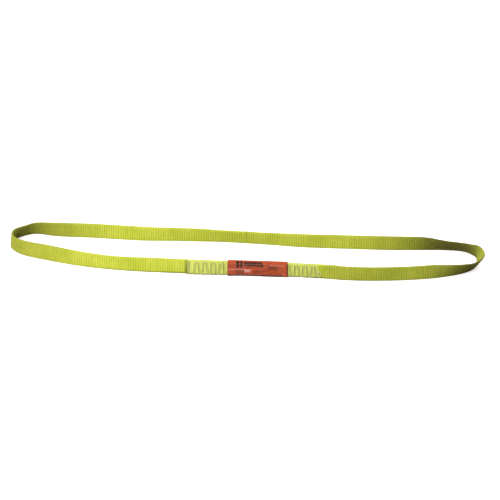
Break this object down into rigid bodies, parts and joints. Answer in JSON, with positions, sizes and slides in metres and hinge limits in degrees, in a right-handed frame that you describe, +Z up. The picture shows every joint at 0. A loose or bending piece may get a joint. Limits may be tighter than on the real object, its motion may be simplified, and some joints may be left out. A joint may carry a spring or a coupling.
{
  "type": "endless flat web sling",
  "caption": "Endless lifting sling of flat woven webbing, standing on edge as a long open loop, with a stitched lap splice and a folded vinyl tag.",
  "frame": {"origin": "on the floor under the middle of the sling's bounding box, as the sling stands on its edge", "axes": "+X along the sling, +Y from the spliced run to the plain run, +Z up across the webbing's width"},
  "size_m": [0.8217, 0.1556, 0.0279],
  "materials": {
    "webbing": "tightly woven lime green polyester lifting webbing with fine cross ribs and bound edges",
    "thread": "pale green twisted sewing thread",
    "tag": "orange-red vinyl with plain dark bars in place of print",
    "tag_film": "clear glossy film laminated over the tag's face"
  },
  "bodies": {
    "splice": {"inner_ply": "webbing", "outer_ply": "webbing", "needle_thread": "thread", "bobbin_thread": "thread", "outer_ply_end_tack": "thread", "inner_ply_end_tack": "thread", "tag": "tag", "tag_clear_film": "tag_film", "tag_thread": "thread"},
    "near_left": {"near_webbing_left": "webbing"},
    "left_bight_1": {"left_bight_webbing_1": "webbing"},
    "left_bight_2": {"left_bight_webbing_2": "webbing"},
    "left_bight_3": {"left_bight_webbing_3": "webbing"},
    "left_bight_4": {"left_bight_webbing_4": "webbing"},
    "left_bight_5": {"left_bight_webbing_5": "webbing"},
    "left_bight_6": {"left_bight_webbing_6": "webbing"},
    "far_left": {"far_webbing_left": "webbing"},
    "near_right": {"near_webbing_right": "webbing"},
    "right_bight_1": {"right_bight_webbing_1": "webbing"},
    "right_bight_2": {"right_bight_webbing_2": "webbing"},
    "right_bight_3": {"right_bight_webbing_3": "webbing"},
    "right_bight_4": {"right_bight_webbing_4": "webbing"},
    "right_bight_5": {"right_bight_webbing_5": "webbing"},
    "right_bight_6": {"right_bight_webbing_6": "webbing"},
    "far_right": {"far_webbing_right": "webbing"}
  },
  "joints": [
    {"name": "left_leg_bend", "type": "hinge", "parent": "splice", "child": "near_left", "pos_m": [-0.175, -0.07278, 0.0135], "axis": [0, 0, -1], "range_deg": [-12.06, 2.84]},
    {"name": "left_bight_bend_1", "type": "hinge", "parent": "near_left", "child": "left_bight_1", "pos_m": [-0.378, -0.01971, 0.0135], "axis": [0, 0, -1], "range_deg": [-15.8, 3.2]},
    {"name": "left_bight_bend_2", "type": "hinge", "parent": "left_bight_1", "child": "left_bight_2", "pos_m": [-0.39418, -0.00796, 0.0135], "axis": [0, 0, -1], "range_deg": [-15.03, 3.44]},
    {"name": "left_bight_bend_3", "type": "hinge", "parent": "left_bight_2", "child": "left_bight_3", "pos_m": [-0.40536, 0.00862, 0.0135], "axis": [0, 0, -1], "range_deg": [-5.02, 22.8]},
    {"name": "left_bight_bend_4", "type": "hinge", "parent": "left_bight_3", "child": "left_bight_4", "pos_m": [-0.40918, 0.02826, 0.0135], "axis": [0, 0, -1], "range_deg": [-13.09, 62.65]},
    {"name": "left_bight_bend_5", "type": "hinge", "parent": "left_bight_4", "child": "left_bight_5", "pos_m": [-0.40536, 0.04789, 0.0135], "axis": [0, 0, -1], "range_deg": [-1.38, 4.85]},
    {"name": "left_bight_bend_6", "type": "hinge", "parent": "left_bight_5", "child": "left_bight_6", "pos_m": [-0.39418, 0.06447, 0.0135], "axis": [0, 0, -1], "range_deg": [-15.36, 3.51]},
    {"name": "left_far_bend", "type": "hinge", "parent": "left_bight_6", "child": "far_left", "pos_m": [-0.378, 0.07623, 0.0135], "axis": [0, 0, -1], "range_deg": [-32.54, 6.99]},
    {"name": "right_leg_bend", "type": "hinge", "parent": "splice", "child": "near_right", "pos_m": [0.175, -0.07278, 0.0135], "axis": [0, 0, 1], "range_deg": [-10.63, 2.55]},
    {"name": "right_bight_bend_1", "type": "hinge", "parent": "near_right", "child": "right_bight_1", "pos_m": [0.375, -0.02931, 0.0135], "axis": [0, 0, 1], "range_deg": [-22.3, 4.92]},
    {"name": "right_bight_bend_2", "type": "hinge", "parent": "right_bight_1", "child": "right_bight_2", "pos_m": [0.3928, -0.01638, 0.0135], "axis": [0, 0, 1], "range_deg": [-9.91, 2.41]},
    {"name": "right_bight_bend_3", "type": "hinge", "parent": "right_bight_2", "child": "right_bight_3", "pos_m": [0.4051, 0.00186, 0.0135], "axis": [0, 0, 1], "range_deg": [-4.65, 20.98]},
    {"name": "right_bight_bend_4", "type": "hinge", "parent": "right_bight_3", "child": "right_bight_4", "pos_m": [0.4093, 0.02346, 0.0135], "axis": [0, 0, 1], "range_deg": [-11.65, 55.55]},
    {"name": "right_bight_bend_5", "type": "hinge", "parent": "right_bight_4", "child": "right_bight_5", "pos_m": [0.4051, 0.04505, 0.0135], "axis": [0, 0, 1], "range_deg": [-3.04, 13.05]},
    {"name": "right_bight_bend_6", "type": "hinge", "parent": "right_bight_5", "child": "right_bight_6", "pos_m": [0.3928, 0.06329, 0.0135], "axis": [0, 0, 1], "range_deg": [-12.28, 2.89]},
    {"name": "right_far_bend", "type": "hinge", "parent": "right_bight_6", "child": "far_right", "pos_m": [0.375, 0.07623, 0.0135], "axis": [0, 0, 1], "range_deg": [-35.46, 7.58]}
  ],
  "couplings": [
    {"joint": "left_leg_bend", "follows": "left_bight_bend_1", "ratio": 0.7316},
    {"joint": "left_bight_bend_2", "follows": "left_bight_bend_1", "ratio": 0.9199},
    {"joint": "left_bight_bend_3", "follows": "left_bight_bend_1", "ratio": -1.4111},
    {"joint": "left_bight_bend_4", "follows": "left_bight_bend_1", "ratio": -3.9338},
    {"joint": "left_bight_bend_5", "follows": "left_bight_bend_1", "ratio": -0.2753},
    {"joint": "left_bight_bend_6", "follows": "left_bight_bend_1", "ratio": 0.9408},
    {"joint": "left_far_bend", "follows": "left_bight_bend_1", "ratio": 2.0279},
    {"joint": "right_leg_bend", "follows": "left_bight_bend_1", "ratio": 0.6412},
    {"joint": "right_bight_bend_1", "follows": "left_bight_bend_1", "ratio": 1.3798},
    {"joint": "right_bight_bend_2", "follows": "left_bight_bend_1", "ratio": 0.5958},
    {"joint": "right_bight_bend_3", "follows": "left_bight_bend_1", "ratio": -1.2962},
    {"joint": "right_bight_bend_4", "follows": "left_bight_bend_1", "ratio": -3.4843},
    {"joint": "right_bight_bend_5", "follows": "left_bight_bend_1", "ratio": -0.7944},
    {"joint": "right_bight_bend_6", "follows": "left_bight_bend_1", "ratio": 0.7456},
    {"joint": "right_far_bend", "follows": "left_bight_bend_1", "ratio": 2.2125}
  ]
}
